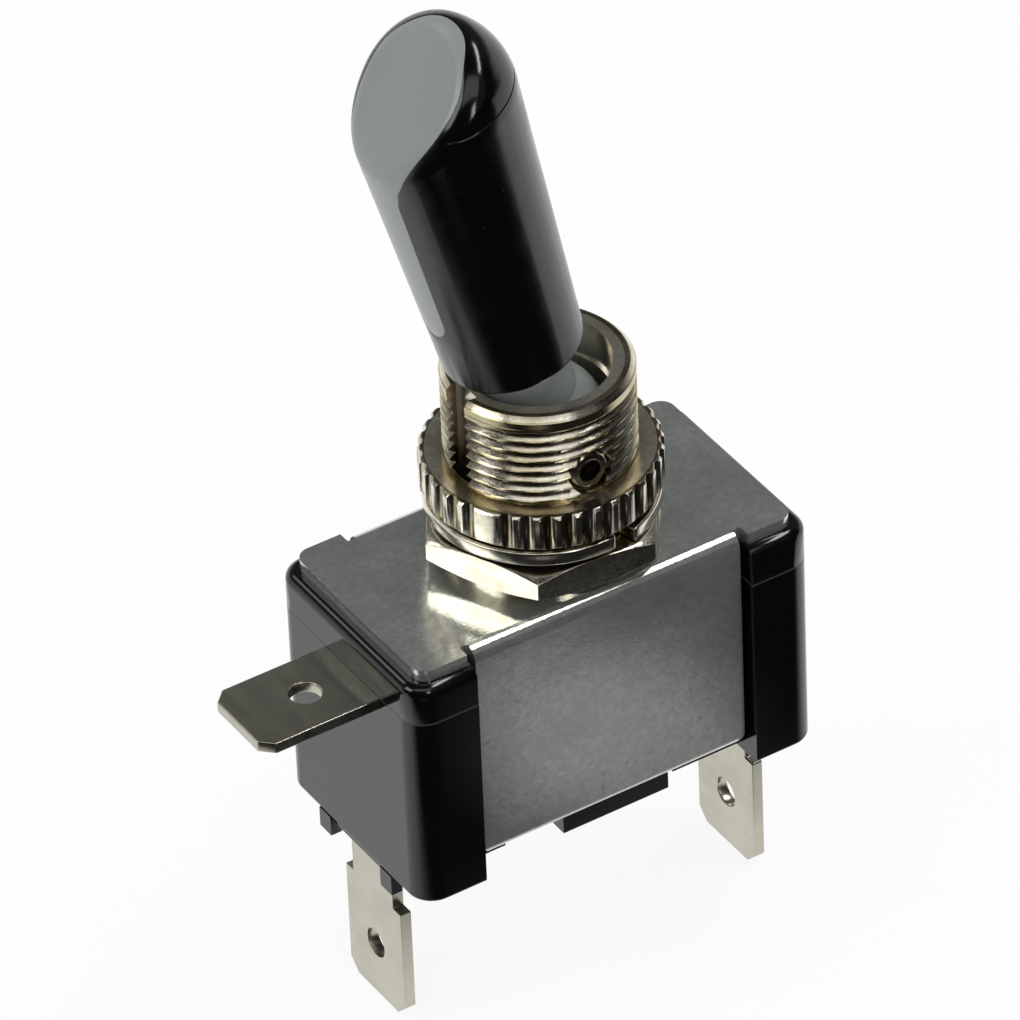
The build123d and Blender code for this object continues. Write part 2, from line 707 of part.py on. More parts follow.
# Threaded bushing: collar on the plate, neck staked under it, stepped bore, keyway, pin holes
with BuildPart() as bushing:
    with BuildSketch(Plane.XZ):
        with BuildLine():
            Polyline(
                (0, thread_length + rim_bevel),
                (thread_radius - rim_bevel, thread_length + rim_bevel),
                (thread_radius, thread_length),
                (thread_radius, 0),
                (thread_core, 0),
                (thread_core, plate_top + collar_height),
                (collar_radius, plate_top + collar_height),
                (collar_radius, plate_top),
                (neck_radius, plate_top),
                (neck_radius, body_top),
                (stake_radius, body_top),
                (stake_radius, body_top - stake_height),
                (0, body_top - stake_height),
                close=True,
            )
        make_face()
    revolve(axis=Axis.Z)
    with BuildSketch(Plane.XY.offset(thread_length + rim_bevel)):
        Circle(bore_radius)
    extrude(amount=seat_ledge - thread_length - rim_bevel, mode=Mode.SUBTRACT)
    with BuildSketch(Plane.XY.offset(seat_ledge)):
        Circle(seat_radius)
    extrude(amount=body_top - stake_height - seat_ledge, mode=Mode.SUBTRACT)
    with BuildSketch(Plane.XY.offset(hex_bottom)):
        with Locations((-keyway_floor, 0)):
            Rectangle(thread_radius, keyway_width, align=(Align.MAX, Align.CENTER))
    extrude(amount=thread_length + rim_bevel - hex_bottom, mode=Mode.SUBTRACT)
    with BuildSketch(Plane.XZ):
        with Locations((0, pivot_height)):
            Circle(pin_radius + thread_gap)
    extrude(amount=thread_radius, both=True, mode=Mode.SUBTRACT)
    for face in (cross_hole_floor, -cross_hole_floor):
        with BuildSketch(Plane.XZ.offset(face)):
            with Locations((0, pivot_height)):
                Circle(cross_hole / 2)
        extrude(amount=math.copysign(thread_radius - cross_hole_floor, face), mode=Mode.SUBTRACT)
bushing.part.label = "bushing"
export_step(bushing.part, "parts/bushing.step")

# Hollow pin that the lever turns on, flared at both ends
with BuildPart() as pivot_pin:
    with BuildSketch(Plane.XZ):
        with Locations((0, pivot_height)):
            Circle(pin_radius)
    extrude(amount=pin_end, both=True)
    for face in (cross_hole_floor, -cross_hole_floor):
        with BuildSketch(Plane.XZ.offset(face)):
            with Locations((0, pivot_height)):
                Circle(flare_radius)
        extrude(amount=math.copysign(pin_end - cross_hole_floor, face))
    rim_edges = pivot_pin.edges().group_by(Axis.Y)[0] + pivot_pin.edges().group_by(Axis.Y)[-1]
    chamfer(rim_edges, flare_bevel)
    with BuildSketch(Plane.XZ):
        with Locations((0, pivot_height)):
            Circle(pin_bore)
    extrude(amount=pin_end, both=True, mode=Mode.SUBTRACT)
pivot_pin.part.label = "pivot_pin"
export_step(pivot_pin.part, "parts/pivot_pin.step")

# Hex nut with its corners turned off on both faces
with BuildPart() as hex_nut:
    with BuildSketch(Plane.XY.offset(hex_bottom)):
        RegularPolygon(hex_across_flats / 2, 6, major_radius=False, rotation=hex_turn)
        Circle(thread_core + thread_gap, mode=Mode.SUBTRACT)
    extrude(amount=hex_height)
    corner_radius = hex_across_flats / math.sqrt(3)
    with BuildSketch(Plane.XZ):
        with BuildLine():
            Polyline(
                (0, hex_bottom),
                (hex_across_flats / 2, hex_bottom),
                (corner_radius, hex_bottom + hex_bevel),
                (corner_radius, hex_bottom + hex_height - hex_bevel),
                (hex_across_flats / 2, hex_bottom + hex_height),
                (0, hex_bottom + hex_height),
                close=True,
            )
        make_face()
    revolve(axis=Axis.Z, mode=Mode.INTERSECT)
hex_nut.part.label = "hex_nut"
export_step(hex_nut.part, "parts/hex_nut.step")

# Split spring washer: a square bar wound once, with one end risen above the other
washer_bore = thread_core + seat_gap
washer_foot = hex_bottom + hex_height + seat_gap
washer_middle = (washer_radius + washer_bore) / 2
with BuildPart() as lock_washer:
    with BuildLine(Plane.XY.offset(washer_foot + washer_thick / 2)) as washer_path:
        Helix(washer_rise, washer_rise * washer_turn, washer_middle)
    with BuildSketch(Plane(washer_path.line @ 0, x_dir=(1, 0, 0), z_dir=washer_path.line % 0)):
        Rectangle(washer_radius - washer_bore, washer_thick)
    sweep(is_frenet=True)
lock_washer_part = lock_washer.part.rotate(Axis.Z, washer_split + 180 * (1 - washer_turn))
lock_washer_part.label = "lock_washer"
export_step(lock_washer_part, "parts/lock_washer.step")

# Round face nut: grooves all round for a spanner, but for one blank patch
with BuildPart() as face_nut:
    with BuildSketch(Plane.XY.offset(face_nut_bottom)):
        Circle(face_nut_radius)
    extrude(amount=-face_nut_bottom)
    chamfer(face_nut.edges().group_by(Axis.Z)[0], face_nut_bevel)
    chamfer(face_nut.edges().group_by(Axis.Z)[-1], groove_depth / 2)
    groove_step = 360 / (groove_count + 1)
    groove_orbit = face_nut_radius + groove_radius - groove_depth
    with BuildSketch(Plane.XY.offset(face_nut_bottom)):
        first_groove = blank_direction + groove_step
        grooved_sweep = 360 - 2 * groove_step
        with PolarLocations(groove_orbit, groove_count, first_groove, grooved_sweep, endpoint=True):
            Circle(groove_radius)
        Circle(thread_core + thread_gap)
    extrude(amount=-face_nut_bottom, mode=Mode.SUBTRACT)
face_nut.part.label = "face_nut"
export_step(face_nut.part, "parts/face_nut.step")

# Plunger: a cup that holds the spring and slides in the tail, with a round tip in the trough
with BuildPart() as plunger:
    with BuildSketch(lever_side):
        with BuildLine():
            Polyline(
                (0, -tip_centre),
                (plunger_tip_radius, -tip_centre),
                (plunger_bore - running_gap, plunger_shoulder - tip_centre),
                (plunger_bore - running_gap, -plunger_top),
                (spring_room, -plunger_top),
                (spring_room, -spring_foot),
                (0, -spring_foot),
                close=True,
            )
        make_face()
    revolve(axis=lever_axis)
    with Locations(lever_base.offset(-tip_centre)):
        Sphere(plunger_tip_radius)
plunger.part.label = "plunger"
export_step(plunger.part, "parts/plunger.step")

# Metal cap at the head of the spring, where the feed lead ends
with BuildPart() as spring_cap:
    with BuildSketch(lever_base.offset(-plunger_bore_top)):
        Circle(plunger_bore - running_gap)
        Rectangle(cap_tab, cap_tab_width, align=(Align.MIN, Align.CENTER))
    extrude(amount=-cap_thick)
spring_cap.part.label = "spring_cap"
export_step(spring_cap.part, "parts/spring_cap.step")

# Coil spring between the cap and the floor of the plunger
spring_top = plunger_bore_top + cap_thick
spring_length = spring_foot - spring_top - 2 * wire_radius
with BuildPart() as plunger_spring:
    with BuildLine() as coil:
        coil_foot = lever_base.offset(-spring_foot + wire_radius).origin
        Helix(spring_length / coil_count, spring_length, coil_radius, coil_foot, lever_base.z_dir)
    with BuildSketch(Plane(coil.line @ 0, x_dir=lever_base.z_dir, z_dir=coil.line % 0)):
        RegularPolygon(wire_radius, 6)
    sweep(is_frenet=True)
plunger_spring.part.label = "plunger_spring"
export_step(plunger_spring.part, "parts/plunger_spring.step")

# Lamp in the neck: round body with a domed end, rim and two leads
with BuildPart() as led:
    with BuildSketch(lever_base.offset(led_foot)):
        Circle(led_rim_radius)
    extrude(amount=led_rim)
    with BuildSketch(lever_base.offset(led_foot)):
        Circle(led_radius)
    extrude(amount=led_length - led_radius)
    with Locations(lever_base.offset(led_foot + led_length - led_radius)):
        Sphere(led_radius, arc_size1=0)
    with BuildSketch(lever_base.offset(led_foot)):
        with Locations((lead_spacing / 2, 0), (-lead_spacing / 2, 0)):
            Circle(lead_radius)
    extrude(amount=-led_leads)
led.part.label = "led"
export_step(led.part, "parts/led.step")

# Series resistor below the lamp, one lead up to the lamp and one down to the pivot pin
with BuildPart() as led_resistor:
    with BuildSketch(lever_base.offset(resistor_foot)):
        with Locations((-lead_spacing / 2, 0)):
            Circle(resistor_radius)
    extrude(amount=resistor_length)
    chamfer(led_resistor.edges().filter_by(GeomType.CIRCLE), contact_bevel)
    with BuildSketch(lever_base.offset(resistor_foot + resistor_length)):
        with Locations((-lead_spacing / 2, 0)):
            Circle(lead_radius)
    extrude(amount=led_foot - led_leads - resistor_foot - resistor_length)
led_resistor.part.label = "led_resistor"
export_step(led_resistor.part, "parts/led_resistor.step")

# Lead from the resistor down the middle of the neck to the pivot pin
with BuildPart() as ground_lead:
    with BuildLine(lever_side) as lead_route:
        FilletPolyline(
            (-lead_spacing / 2, resistor_foot),
            (-lead_spacing / 2, led_bore_foot + lead_spacing),
            (0, led_bore_foot + lead_radius),
            (0, pin_radius),
            radius=2 * lead_radius,
        )
    with BuildSketch(Plane(lead_route.line @ 1, z_dir=lever_base.z_dir)):
        Circle(lead_radius)
    sweep()
ground_lead.part.label = "ground_lead"
export_step(ground_lead.part, "parts/ground_lead.step")

# Lead from the cap up past the pivot pin to the lamp
with BuildPart() as feed_lead:
    with BuildLine(lever_side) as lead_route:
        FilletPolyline(
            (lead_spacing / 2, led_foot - led_leads),
            (lead_spacing / 2, feed_slot_top + lead_radius),
            (feed_lead_shift, feed_slot_top - led_rim_radius),
            (feed_lead_shift, -plunger_bore_top),
            radius=2 * lead_radius,
        )
    with BuildSketch(Plane(lead_route.line @ 1, z_dir=lever_base.z_dir)):
        Circle(lead_radius)
    sweep()
feed_lead.part.label = "feed_lead"
export_step(feed_lead.part, "parts/feed_lead.step")
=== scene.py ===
import bmesh
import bpy
import json
import math
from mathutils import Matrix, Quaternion, Vector

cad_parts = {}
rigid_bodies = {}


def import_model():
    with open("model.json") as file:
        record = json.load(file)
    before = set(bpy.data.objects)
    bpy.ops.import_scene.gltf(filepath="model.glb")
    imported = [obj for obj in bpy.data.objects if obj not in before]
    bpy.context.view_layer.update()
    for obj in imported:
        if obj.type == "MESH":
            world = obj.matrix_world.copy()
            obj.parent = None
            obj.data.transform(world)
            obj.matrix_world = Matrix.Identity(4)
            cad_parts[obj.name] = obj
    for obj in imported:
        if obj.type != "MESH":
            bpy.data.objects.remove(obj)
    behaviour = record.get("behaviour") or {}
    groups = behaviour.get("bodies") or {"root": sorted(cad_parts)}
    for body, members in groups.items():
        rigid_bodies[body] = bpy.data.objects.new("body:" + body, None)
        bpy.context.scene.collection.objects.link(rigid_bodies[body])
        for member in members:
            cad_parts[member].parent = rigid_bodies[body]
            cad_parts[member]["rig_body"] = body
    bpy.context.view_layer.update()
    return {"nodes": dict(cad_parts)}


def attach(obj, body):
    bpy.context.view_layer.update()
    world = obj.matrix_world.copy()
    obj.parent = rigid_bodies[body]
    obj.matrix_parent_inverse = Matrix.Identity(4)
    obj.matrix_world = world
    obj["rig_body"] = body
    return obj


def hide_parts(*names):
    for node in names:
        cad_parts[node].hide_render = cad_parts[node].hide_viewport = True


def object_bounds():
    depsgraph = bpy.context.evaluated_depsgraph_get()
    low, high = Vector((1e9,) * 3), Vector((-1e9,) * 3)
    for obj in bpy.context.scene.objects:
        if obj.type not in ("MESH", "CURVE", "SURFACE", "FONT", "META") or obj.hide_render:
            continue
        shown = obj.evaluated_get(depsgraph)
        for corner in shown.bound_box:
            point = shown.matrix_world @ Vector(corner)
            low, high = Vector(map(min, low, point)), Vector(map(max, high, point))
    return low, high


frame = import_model()
mm = 0.001
nodes = frame["nodes"]
print("frame loaded")


# a socket that takes part in Python arithmetic, each operator adds one Math node
class Sock:
    def __init__(self, tree, out):
        self.tree = tree
        self.out = out

    def __add__(self, other):
        return self.tree.calc("ADD", self, other)

    def __radd__(self, other):
        return self.tree.calc("ADD", other, self)

    def __sub__(self, other):
        return self.tree.calc("SUBTRACT", self, other)

    def __rsub__(self, other):
        return self.tree.calc("SUBTRACT", other, self)

    def __mul__(self, other):
        return self.tree.calc("MULTIPLY", self, other)

    def __truediv__(self, other):
        return self.tree.calc("DIVIDE", self, other)

    def __pow__(self, other):
        return self.tree.calc("POWER", self, other)

    def __gt__(self, other):
        return self.tree.calc("GREATER_THAN", self, other)

    def __lt__(self, other):
        return self.tree.calc("LESS_THAN", self, other)


# any node tree: one method adds a node of a type with its settings and its sockets
class Tree:
    def __init__(self, nodeTree):
        self.tree = nodeTree
        self.tree.nodes.clear()

    def add(self, kind, settings=None, sockets=None):
        node = self.tree.nodes.new(kind)
        for key, value in (settings or {}).items():
            setattr(node, key, value)
        for key, value in (sockets or {}).items():
            socket = node.inputs[key]
            if isinstance(value, Sock):
                self.tree.links.new(value.out, socket)
            elif isinstance(value, tuple) and socket.type == "RGBA":
                socket.default_value = (*value, 1)
            else:
                socket.default_value = value
        return node

    def take(self, kind, settings=None, sockets=None, out=0):
        return Sock(self, self.add(kind, settings, sockets).outputs[out])

    def calc(self, operation, a, b=0.0):
        return self.take("ShaderNodeMath", {"operation": operation}, {0: a, 1: b})

    def fade(self, value, low, high, outLow=0.0, outHigh=1.0, curve="LINEAR"):
        numbers = {"Value": value, "From Min": low, "From Max": high, "To Min": outLow, "To Max": outHigh}
        return self.take("ShaderNodeMapRange", {"interpolation_type": curve}, numbers)

    def dot(self, vector, direction):
        settings = {"operation": "DOT_PRODUCT"}
        return self.take("ShaderNodeVectorMath", settings, {0: vector, 1: direction}, "Value")

    def split(self, vector):
        node = self.add("ShaderNodeSeparateXYZ", {}, {0: vector})
        return [Sock(self, out) for out in node.outputs]

    # one where the camera looks at the point itself, and one where a mirroring piece shows it
    def seenBy(self):
        path = self.add("ShaderNodeLightPath")
        return [Sock(self, path.outputs[ray]) for ray in ("Is Camera Ray", "Is Glossy Ray")]


# one material: its tree, its shader and the few kinds of node that the finishes share
class Maker(Tree):
    def __init__(self, name, fixed):
        self.material = bpy.data.materials.new(name)
        self.material.use_nodes = True
        super().__init__(self.material.node_tree)
        self.output = self.add("ShaderNodeOutputMaterial")
        self.shader = self.add("ShaderNodeBsdfPrincipled", {}, fixed)
        self.tree.links.new(self.shader.outputs[0], self.output.inputs["Surface"])
        self.place = self.take("ShaderNodeTexCoord", out="Object")

    def stretch(self, scale, turn=(0, 0, 0)):
        return self.take("ShaderNodeMapping", {}, {"Vector": self.place, "Scale": scale, "Rotation": turn})

    def noise(self, cloud, vector=None):
        sockets = {"Vector": vector or self.place, "Scale": cloud["scale"], "Detail": cloud["detail"]}
        return self.take("ShaderNodeTexNoise", {}, sockets, "Fac")

    # a cloud of noise spread from one range to another
    def layer(self, cloud, vector=None):
        return self.fade(self.noise(cloud, vector), *cloud["from"], *cloud["to"])

    def mix(self, factor, first, second):
        return self.take("ShaderNodeMix", {"data_type": "RGBA"}, {0: factor, 6: first, 7: second}, 2)

    def bump(self, height, relief):
        sockets = {"Height": height, "Distance": relief["height"] * mm, "Strength": relief["strength"]}
        return self.take("ShaderNodeBump", {}, sockets)

    def feed(self, colour, roughness, normal=None):
        for key, value in {"Base Color": colour, "Roughness": roughness, "Normal": normal}.items():
            if value:
                self.tree.links.new(value.out, self.shader.inputs[key])
        return self.material


# a geometry tree: its named inputs, and the mesh that comes out
class Former(Tree):
    def __init__(self, name, inputs):
        group = bpy.data.node_groups.new(name, "GeometryNodeTree")
        super().__init__(group)
        group.interface.new_socket("Mesh", in_out="INPUT", socket_type="NodeSocketGeometry")
        self.named = {}
        for label, value in inputs.items():
            kind = {int: "NodeSocketInt", float: "NodeSocketFloat"}.get(type(value), "NodeSocketMaterial")
            self.named[label] = group.interface.new_socket(label, in_out="INPUT", socket_type=kind)
        group.interface.new_socket("Mesh", in_out="OUTPUT", socket_type="NodeSocketGeometry")
        self.entry = self.add("NodeGroupInput")
        self.inputs = inputs

    def given(self, label):
        return Sock(self, self.entry.outputs[label])

    # ends the tree, runs it on the piece and leaves a plain mesh
    def run(self, mesh, piece):
        real = self.take("GeometryNodeRealizeInstances", {}, {0: mesh})
        sockets = {"Geometry": real, "Material": self.given("Finish")}
        finished = self.take("GeometryNodeSetMaterial", {}, sockets)
        self.add("NodeGroupOutput", {}, {0: finished})
        modifier = piece.modifiers.new(self.tree.name, "NODES")
        modifier.node_group = self.tree
        for label, value in self.inputs.items():
            modifier[self.named[label].identifier] = value
        bake(piece)


# the evaluated piece as a plain mesh, with its modifiers taken off
def bake(piece):
    bpy.context.view_layer.update()
    done = piece.evaluated_get(bpy.context.evaluated_depsgraph_get())
    mesh = bpy.data.meshes.new_from_object(done)
    mesh.name = piece.name
    piece.modifiers.clear()
    piece.data = mesh
    return piece


merging = {"distance": 0.002, "flat": 0.7}  # mm, and degrees between faces that become one


# a copy of a CAD node, its triangles merged and its flat faces whole
def copyNode(node, name):
    form = bmesh.new()
    form.from_mesh(nodes[node].data)
    bmesh.ops.remove_doubles(form, verts=form.verts, dist=merging["distance"] * mm)
    flat = math.radians(merging["flat"])
    bmesh.ops.dissolve_limit(form, angle_limit=flat, verts=form.verts, edges=form.edges)
    mesh = bpy.data.meshes.new(name)
    form.to_mesh(mesh)
    form.free()
    piece = bpy.data.objects.new(name, mesh)
    bpy.context.collection.objects.link(piece)
    return piece


shading = {"limit": 32, "threadLimit": 40, "weight": 90}  # degrees, and how far large faces lead


# edges broken by a small bevel, then shaded smooth up to an angle
def soften(piece, width, segments):
    bevel = piece.modifiers.new("edges", "BEVEL")
    bevel.width = width * mm
    bevel.segments = segments
    bevel.limit_method = "ANGLE"
    bevel.angle_limit = math.radians(shading["limit"])
    bevel.miter_outer = "MITER_ARC"
    bake(piece)
    return shade(piece, shading["limit"])


# smooth faces, sharp edges above the limit, and normals that follow the large faces
def shade(piece, limit):
    form = bmesh.new()
    form.from_mesh(piece.data)
    for face in form.faces:
        face.smooth = True
    for edge in form.edges:
        edge.smooth = len(edge.link_faces) == 2 and edge.calc_face_angle(0) < math.radians(limit)
    form.to_mesh(piece.data)
    form.free()
    weigh = piece.modifiers.new("flats", "WEIGHTED_NORMAL")
    weigh.keep_sharp = True
    weigh.weight = shading["weight"]
    return bake(piece)


# the piece in its finish, in place of its CAD node
def stand(piece, node, slot):
    piece.data.materials.clear()
    piece.data.materials.append(finishes[slot])
    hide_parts(node)
    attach(piece, nodes[node]["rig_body"])


# a colour made darker or lighter
def toned(colour, share):
    return tuple(part * share for part in colour)


# in each cloud of noise "from" is the range that is spread over "to"; a relief's height is in mm
zincPlate = {
    "fixed": {"Metallic": 0.86},
    "colour": (0.66, 0.69, 0.655),
    "dark": (0.55, 0.575, 0.55),
    "speck": (0.40, 0.41, 0.385),
    "spot": (0.25, 0.25, 0.25),
    "mottle": {"scale": 240, "detail": 4, "from": (0.35, 0.65), "to": (0.0, 1.0)},
    "speckle": {"scale": 2600, "detail": 3, "from": (0.35, 0.65), "to": (0.0, 0.4)},
    "spots": {"scale": 1700, "detail": 1, "from": (0.70, 0.76), "to": (0.0, 0.4)},
    "sheen": {"scale": 240, "detail": 4, "from": (0.3, 0.7), "to": (0.10, 0.15)},
    "grain": {"scale": 6500, "detail": 2, "from": (0.3, 0.7), "to": (-0.03, 0.04)},
    "scratches": {"scale": 1400, "detail": 1, "from": (0.74, 0.78), "to": (0.0, 0.05)},
    "scratchScale": (0.04, 1.3, 1.3),
    "scratchTurn": (0.2, 0.3, 0.5),
    "relief": {"height": 0.008, "strength": 0.7},
}


def zincFinish(name):
    look = Maker(name, zincPlate["fixed"])
    colour = look.mix(look.layer(zincPlate["mottle"]), zincPlate["dark"], zincPlate["colour"])
    colour = look.mix(look.layer(zincPlate["speckle"]), colour, zincPlate["speck"])
    colour = look.mix(look.layer(zincPlate["spots"]), colour, zincPlate["spot"])
    slanted = look.stretch(zincPlate["scratchScale"], zincPlate["scratchTurn"])
    scratches = look.layer(zincPlate["scratches"], slanted)
    roughness = look.layer(zincPlate["sheen"]) + scratches + look.layer(zincPlate["grain"])
    return look.feed(colour, roughness, look.bump(look.noise(zincPlate["grain"]), zincPlate["relief"]))


# the bands are rings round the bushing's axis, in mm: each is seen over a radius and above a
# height, and fades out from the first to the second radius
nickelPlate = {
    "fixed": {"Metallic": 1.0},
    "colour": (0.80, 0.77, 0.68),
    "tint": (0.56, 0.49, 0.36),
    # painted shade: the darker, browner colour laid into the thread's valleys and the nut's flutes
    "grooveShade": (0.20, 0.155, 0.085),
    "shoulderTint": (0.38, 0.32, 0.15),
    "patches": {"scale": 380, "detail": 4, "from": (0.5, 0.72), "to": (0.0, 1.0)},
    "patchy": {"scale": 380, "detail": 4, "from": (0.3, 0.6), "to": (0.55, 1.0)},
    "speckle": {"scale": 2200, "detail": 3, "from": (0.4, 0.65), "to": (0.0, 0.45)},
    "sheen": {"scale": 7000, "detail": 2, "from": (0.3, 0.7), "to": (0.13, 0.24)},
    "relief": {"height": 0.008, "strength": 0.5},
    "valley": {"over": 5.3, "fade": (5.55, 5.9), "above": 0.0, "share": 1.0},
    "shoulder": {"over": 5.9, "fade": (5.95, 6.9), "above": -20.0, "share": 0.8},
    "flute": {"over": 7.1, "fade": (7.2, 7.44), "above": -2.8, "share": 1.0},
}


def nickelFinish(name):
    look = Maker(name, nickelPlate["fixed"])
    across, along, height = look.split(look.place)
    radius = (across * across + along * along) ** 0.5 / mm

    def inBand(band):
        ring = look.fade(radius, *band["fade"], band["share"], 0.0)
        return ring * (radius > band["over"]) * (height > band["above"] * mm)

    patchy = look.layer(nickelPlate["patchy"])
    # painted shade in the thread's valleys and the nut's flutes, made patchy by noise
    shadedGrooves = look.calc("MINIMUM", inBand(nickelPlate["valley"]) + inBand(nickelPlate["flute"]), 1.0)
    colour = look.mix(look.layer(nickelPlate["patches"]), nickelPlate["colour"], nickelPlate["tint"])
    colour = look.mix(look.layer(nickelPlate["speckle"]), colour, nickelPlate["tint"])
    colour = look.mix(inBand(nickelPlate["shoulder"]) * patchy, colour, nickelPlate["shoulderTint"])
    colour = look.mix(shadedGrooves * patchy, colour, nickelPlate["grooveShade"])
    normal = look.bump(look.noise(nickelPlate["sheen"]), nickelPlate["relief"])
    return look.feed(colour, look.layer(nickelPlate["sheen"]), normal)


# the seam's depth below the origin and the two half widths between which its line fades, in mm
blackBody = {
    "fixed": {"Specular IOR Level": 0.5},
    "colour": (0.002, 0.002, 0.0022),
    "speck": (0.2, 0.2, 0.2),
    "dust": {"scale": 3800, "detail": 1, "from": (0.78, 0.84), "to": (0.0, 0.2)},
    "sheen": {"scale": 300, "detail": 4, "from": (0.3, 0.7), "to": (0.08, 0.17)},
    "peel": {"scale": 500, "detail": 2},
    "relief": {"height": 0.02, "strength": 0.25},
    "seamDepth": 10.54,
    "seamWidth": (0.03, 0.10),
    # painted highlight: the colour of the line along the seam
    "seamHighlight": (0.035, 0.035, 0.034),
}


# the paler line where cover and base meet is a painted highlight along the seam
def bodyFinish(name):
    look = Maker(name, blackBody["fixed"])
    colour = look.mix(look.layer(blackBody["dust"]), blackBody["colour"], blackBody["speck"])
    height = look.split(look.place)[2] / mm
    offSeam = look.calc("ABSOLUTE", height + blackBody["seamDepth"])
    seam = look.fade(offSeam, *blackBody["seamWidth"], 1.0, 0.0)
    # painted highlight: a paler line laid along the seam
    colour = look.mix(seam, colour, blackBody["seamHighlight"])
    normal = look.bump(look.noise(blackBody["peel"]), blackBody["relief"])
    return look.feed(colour, look.layer(blackBody["sheen"]), normal)


blackLever = {
    "fixed": {"Specular IOR Level": 0.5},
    "colour": (0.0012, 0.0012, 0.0013),
    "speck": (0.22, 0.22, 0.22),
    "dust": {"scale": 4200, "detail": 1, "from": (0.77, 0.83), "to": (0.0, 0.25)},
    "satin": {"scale": 500, "detail": 4, "from": (0.3, 0.7), "to": (0.16, 0.25)},
    "domeRoughness": 0.15,
    "domeFade": 0.05,
    "peel": {"scale": 1800, "detail": 2},
    "relief": {"height": 0.006, "strength": 0.4},
}
# where the dome is parted from the sleeve: a distance along the lever from its pivot, with the
# half width and the depth of the line, and the radius inside which nothing is cut
parting = {
    "pivot": (0, 0, 1.5),
    "axis": (-0.2385, 0, 0.9711),
    "at": 28.5,
    "half": 0.07,
    "depth": 0.06,
    "keep": 4.9,
    "near": 0.001,
}


def leverFinish(name):
    look = Maker(name, blackLever["fixed"])
    colour = look.mix(look.layer(blackLever["dust"]), blackLever["colour"], blackLever["speck"])
    pivot = Vector(parting["pivot"]) * mm
    along = look.dot(look.place, parting["axis"]) - pivot.dot(Vector(parting["axis"]))
    dome = look.fade(
        along,
        (parting["at"] - blackLever["domeFade"]) * mm,
        (parting["at"] + blackLever["domeFade"]) * mm,
    )
    satin = look.layer(blackLever["satin"])
    roughness = satin + dome * (blackLever["domeRoughness"] - satin)
    normal = look.bump(look.noise(blackLever["peel"]), blackLever["relief"])
    return look.feed(colour, roughness, normal)


greyLens = {
    "fixed": {
        "Subsurface Weight": 0.3,
        "Subsurface Radius": (0.8, 1.0, 0.9),
        "Subsurface Scale": 0.0008,
    },
    "colour": (0.218, 0.241, 0.226),
    "tone": 1.1,
    "cloud": {"scale": 160, "detail": 3, "from": (0.3, 0.7), "to": (0.0, 1.0)},
    "sheen": (0.27, 0.33),
}
milkyCore = {
    "fixed": {
        "Subsurface Weight": 0.5,
        "Subsurface Radius": (1.0, 1.0, 1.0),
        "Subsurface Scale": 0.0012,
    },
    "colour": (0.27, 0.295, 0.28),
    "tone": 0.85,
    "cloud": {"scale": 300, "detail": 3, "from": (0.3, 0.7), "to": (0.0, 1.0)},
    "sheen": (0.3, 0.42),
}


# a plain stuff with a faint cloud in its colour and its sheen
def cloudFinish(name, stuff):
    look = Maker(name, stuff["fixed"])
    cloud = look.layer(stuff["cloud"])
    colour = look.mix(cloud, stuff["colour"], toned(stuff["colour"], stuff["tone"]))
    return look.feed(colour, look.fade(cloud, 0.0, 1.0, *stuff["sheen"]))


tinnedBlade = {
    "fixed": {"Metallic": 1.0},
    "colour": (0.52, 0.505, 0.42),
    "dark": (0.46, 0.445, 0.365),
    "cloud": {"scale": 350, "detail": 4, "from": (0.4, 0.7), "to": (0.0, 1.0)},
    "rolled": {"scale": 1200, "detail": 2, "from": (0.3, 0.7), "to": (0.23, 0.36)},
    "rolledScale": (1, 0.12, 1),
    "relief": {"height": 0.006, "strength": 0.5},
}


def bladeFinish(name):
    look = Maker(name, tinnedBlade["fixed"])
    colour = look.mix(look.layer(tinnedBlade["cloud"]), tinnedBlade["colour"], tinnedBlade["dark"])
    drawn = look.stretch(tinnedBlade["rolledScale"])
    normal = look.bump(look.noise(tinnedBlade["rolled"], drawn), tinnedBlade["relief"])
    return look.feed(colour, look.layer(tinnedBlade["rolled"], drawn), normal)


# each finish under its slot's name
finishes = {
    "zinc_steel": zincFinish("zincSteel"),
    "nickel_brass": nickelFinish("nickelBrass"),
    "black_body": bodyFinish("blackMoulding"),
    "black_lever": leverFinish("satinLever"),
    "grey_lens": cloudFinish("greyLens", greyLens),
    "milky_core": cloudFinish("milkyCore", milkyCore),
    "tinned_brass": bladeFinish("tinnedBlade"),
}


# the two kinds of stuff inside; the spread is how far the roughness strays from a piece's own
innerMetal = {
    "fixed": {"Metallic": 1.0},
    "tone": 0.8,
    "cloud": {"scale": 800, "detail": 3, "from": (0.3, 0.7), "to": (0.0, 1.0)},
    "spread": (-0.05, 0.08),
}
innerPlastic = {
    "fixed": {},
    "tone": 0.88,
    "cloud": {"scale": 900, "detail": 2, "from": (0.3, 0.7), "to": (0.0, 1.0)},
    "spread": (-0.04, 0.06),
}


def innerFinish(name, stuff, colour, roughness):
    sheen = [roughness + step for step in stuff["spread"]]
    return cloudFinish(name, {**stuff, "colour": colour, "sheen": sheen})


